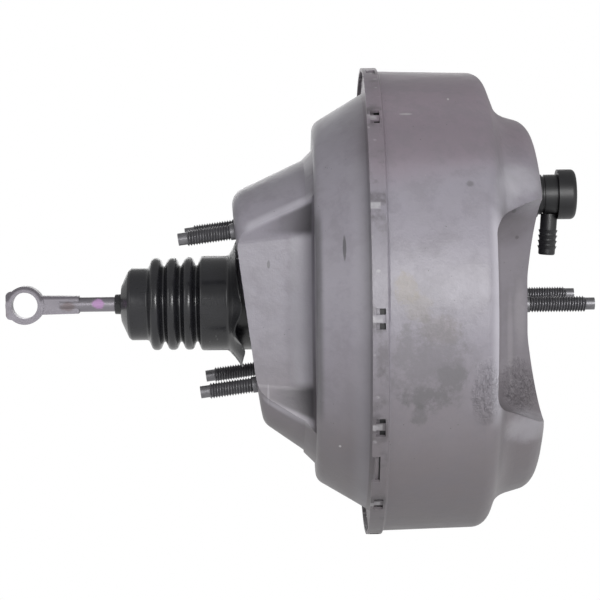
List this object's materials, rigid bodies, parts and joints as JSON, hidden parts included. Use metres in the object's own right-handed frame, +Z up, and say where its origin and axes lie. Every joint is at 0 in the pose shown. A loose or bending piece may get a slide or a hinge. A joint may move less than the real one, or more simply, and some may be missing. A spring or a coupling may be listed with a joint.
{
  "type": "vacuum brake booster",
  "caption": "Round vacuum brake booster: pressed steel shells with studs, a ribbed boot round the pedal rod, a check valve with hose nipple, and the full control valve inside.",
  "frame": {"origin": "centre of the flat land on the front shell that the master cylinder bolts to, on the booster's axis", "axes": "+X along the axis towards the master cylinder, +Z up towards the check valve, +Y to the left seen from the pedal"},
  "size_m": [0.3483, 0.2796, 0.2796],
  "materials": {
    "shell_paint": "semi-matt grey paint with handling stains",
    "stud_steel": "dark phosphate",
    "plate_steel": "pressed, zinc plated",
    "rod_steel": "dull forged and turned steel",
    "spring_steel": "drawn wire",
    "boot_rubber": "satin moulded rubber, scuffed",
    "seal_rubber": "matt moulded rubber",
    "valve_plastic": "moulded phenolic",
    "check_valve_plastic": "satin moulded nylon",
    "filter_felt": "open felt"
  },
  "bodies": {
    "housing": {"front_shell": "shell_paint", "rear_shell": "shell_paint", "firewall_studs": "stud_steel", "master_cylinder_studs": "stud_steel", "rear_stud_plate": "plate_steel", "front_stud_plate": "plate_steel", "rear_seal": "seal_rubber", "rear_bearing": "valve_plastic", "front_seal": "seal_rubber", "check_valve_grommet": "seal_rubber", "diaphragm": "seal_rubber", "return_spring": "spring_steel", "boot": "boot_rubber"},
    "power_piston": {"valve_body": "valve_plastic", "diaphragm_plate": "plate_steel", "reaction_disc": "seal_rubber", "output_rod": "rod_steel", "output_rod_retainer": "plate_steel", "valve_key": "plate_steel", "poppet_valve": "seal_rubber", "poppet_retainer": "valve_plastic", "poppet_spring": "spring_steel", "rod_return_spring": "spring_steel", "air_filter": "filter_felt", "air_silencer": "filter_felt"},
    "plunger": {"valve_plunger": "rod_steel"},
    "pedal_rod": {"input_rod": "rod_steel"},
    "output_screw": {"output_rod_screw": "rod_steel"},
    "check_valve": {"check_valve_body": "check_valve_plastic", "check_valve_cap": "check_valve_plastic", "check_valve_spring": "spring_steel"},
    "valve_disc": {"check_valve_disc": "seal_rubber"}
  },
  "joints": [
    {"name": "power_stroke", "type": "slide", "parent": "housing", "child": "power_piston", "axis": [1, 0, 0], "range_m": [0, 0.038], "stiffness_N_per_m": 1500, "springref_m": -0.06, "deforming": ["return_spring", "diaphragm"]},
    {"name": "pedal_stroke", "type": "slide", "parent": "housing", "child": "plunger", "axis": [1, 0, 0], "range_m": [0, 0.0395], "deforming": ["boot", "rod_return_spring"]},
    {"name": "rod_pitch", "type": "hinge", "parent": "plunger", "child": "pedal_rod", "pos_m": [-0.1374, 0, 0], "axis": [0, 1, 0], "range_deg": [-3, 3]},
    {"name": "output_screw_adjust", "type": "slide", "parent": "power_piston", "child": "output_screw", "axis": [1, 0, 0], "range_m": [0, 0.004]},
    {"name": "check_valve_swivel", "type": "hinge", "parent": "housing", "child": "check_valve", "pos_m": [0.0249, 0, 0.063], "axis": [1, 0, 0], "continuous": true},
    {"name": "check_disc_lift", "type": "slide", "parent": "check_valve", "child": "valve_disc", "axis": [1, 0, 0], "range_m": [0, 0.002], "stiffness_N_per_m": 60, "springref_m": -0.003, "deforming": ["check_valve_spring"]}
  ],
  "couplings": [
    {"joint": "pedal_stroke", "follows": "power_stroke", "ratio": 1.0394}
  ]
}
